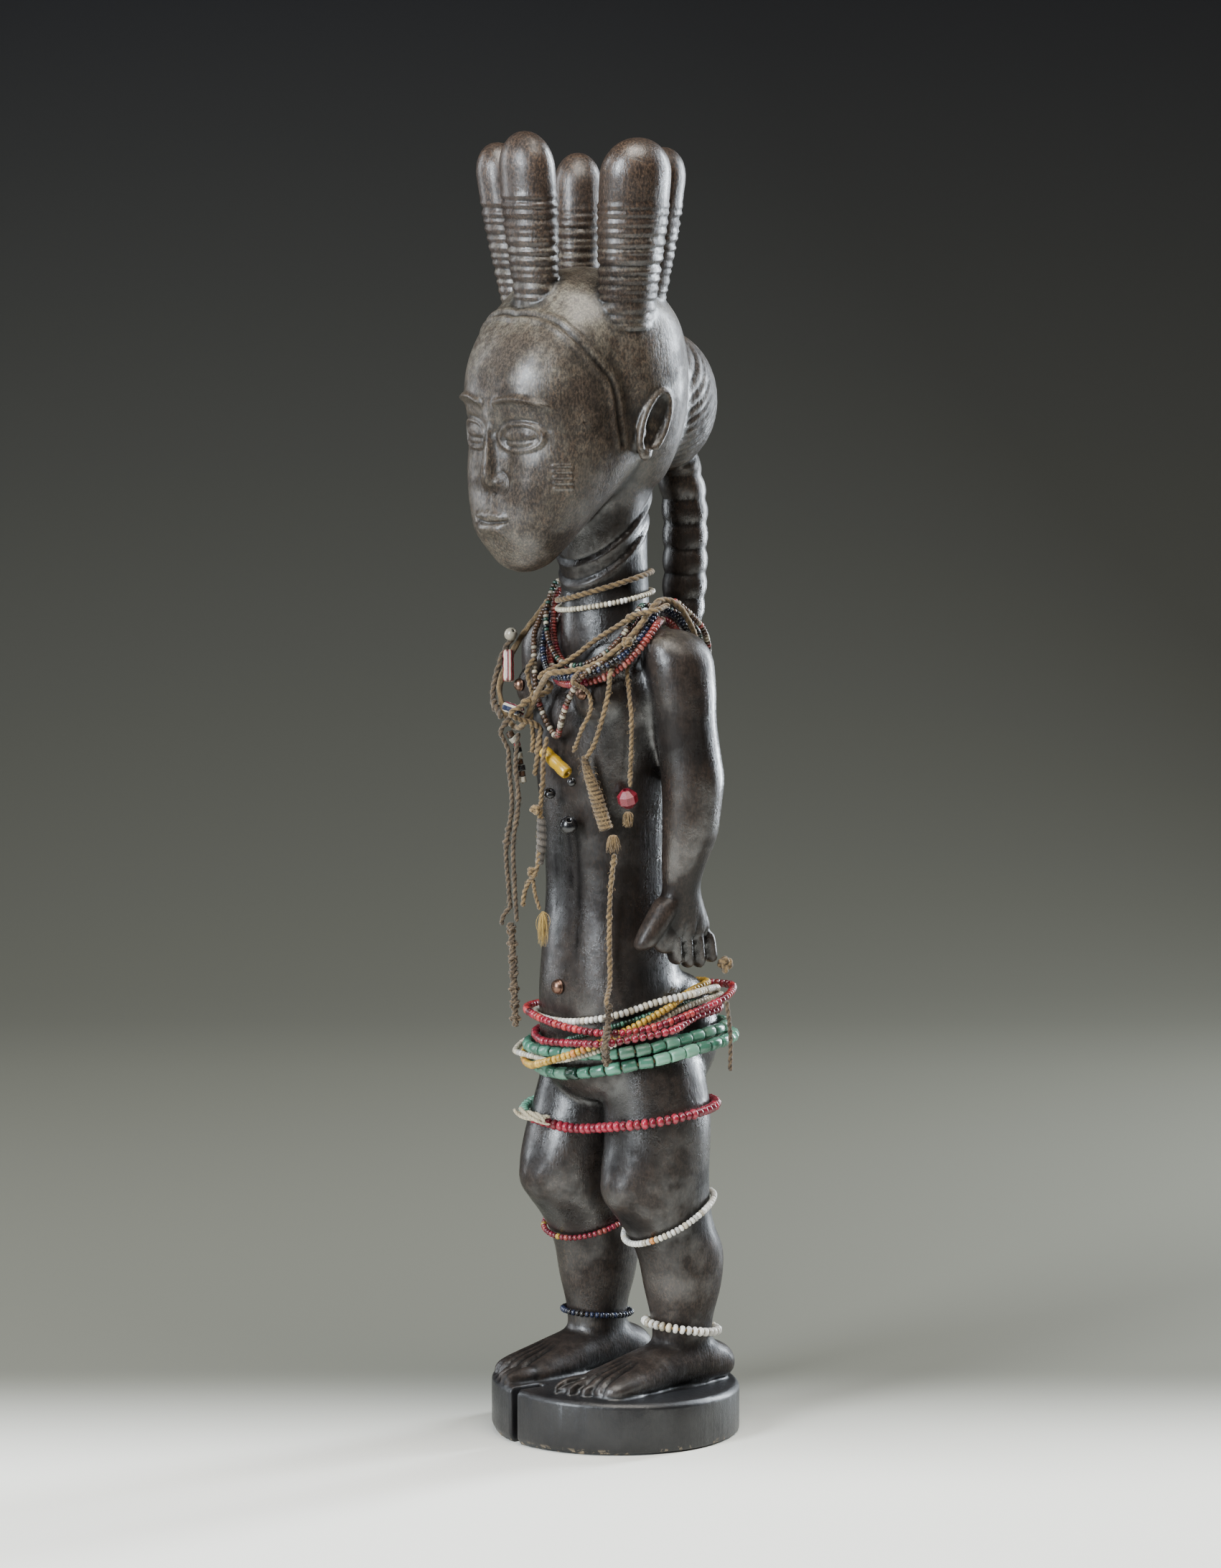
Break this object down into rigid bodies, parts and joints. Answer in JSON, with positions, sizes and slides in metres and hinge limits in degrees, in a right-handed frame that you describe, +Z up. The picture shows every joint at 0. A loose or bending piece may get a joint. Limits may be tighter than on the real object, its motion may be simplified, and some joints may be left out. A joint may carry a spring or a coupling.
{
  "type": "carved standing figure with bead strands",
  "caption": "Dark carved wooden standing female figure on a round base, wearing beaded strands, fibre cords and metal tacks.",
  "frame": {"origin": "middle of the round base's underside, on the surface it stands on", "axes": "+Z up along the figure's height, -Y out of the figure's front, +X towards the figure's own left"},
  "size_m": [0.0982, 0.1078, 0.48],
  "materials": {
    "wood": "dark polished patina, satin",
    "tack": "dull copper-coloured",
    "fibre": "rough twisted plant fibre",
    "red_bead": "opaque deep red, worn gloss",
    "cream_bead": "opaque cream, worn",
    "green_bead": "opaque sea green, satin",
    "yellow_bead": "opaque ochre yellow",
    "blue_bead": "opaque dark blue",
    "dark_bead": "opaque black, glossy"
  },
  "bodies": {
    "root": {"figure": "wood", "left_breast_tack": "tack", "right_breast_tack": "tack", "navel_tack": "tack", "neck_cord_twisted": "fibre", "neck_strand_mixed": "fibre", "neck_cord_outer": "fibre", "hanging_cord_left": "fibre", "hanging_cord_bead": "fibre", "hanging_cord_short": "fibre", "hanging_cord_long": "fibre", "chest_cord_outer": "fibre", "chest_cord_inner": "fibre", "chest_cord_side": "fibre", "chest_cord_cross": "fibre", "chest_cord_back": "fibre", "middle_cord_upper": "fibre", "middle_cord_branch": "fibre", "middle_cord_tail": "fibre", "cord_bundle_left": "fibre", "cord_bundle_waist": "fibre", "chest_cord_knot": "fibre", "cloth_wrap": "fibre", "waist_tie_strip": "fibre", "thigh_fibre_bow": "fibre", "shoulder_knot": "fibre", "bundle_tuft": "fibre", "red_bead_tuft": "fibre", "middle_knot": "fibre", "middle_joint": "fibre", "yellow_tassel": "fibre", "waist_tie_knot": "fibre", "neck_strand_red_upper": "red_bead", "neck_strand_red_lower": "red_bead", "waist_strand_red_upper": "red_bead", "waist_strand_red_lower": "red_bead", "thigh_strand_red": "red_bead", "right_knee_strand": "red_bead", "red_pendant_bead": "red_bead", "striped_tube_bead": "red_bead", "neck_strand_cream": "cream_bead", "waist_strand_white": "cream_bead", "waist_strand_white_fine": "cream_bead", "left_knee_strand": "cream_bead", "left_ankle_strand": "cream_bead", "cream_shoulder_bead": "cream_bead", "waist_strand_green_upper": "green_bead", "waist_strand_green_lower": "green_bead", "waist_strand_yellow": "yellow_bead", "yellow_tube_bead": "yellow_bead", "neck_strand_blue": "blue_bead", "blue_tube_bead": "blue_bead", "neck_strand_dark": "dark_bead", "waist_strand_dark_green": "dark_bead", "right_ankle_strand": "dark_bead", "chest_bead_cluster": "dark_bead", "black_bead_large": "dark_bead", "black_bead_small": "dark_bead", "black_ring_bead": "dark_bead"}
  },
  "joints": []
}
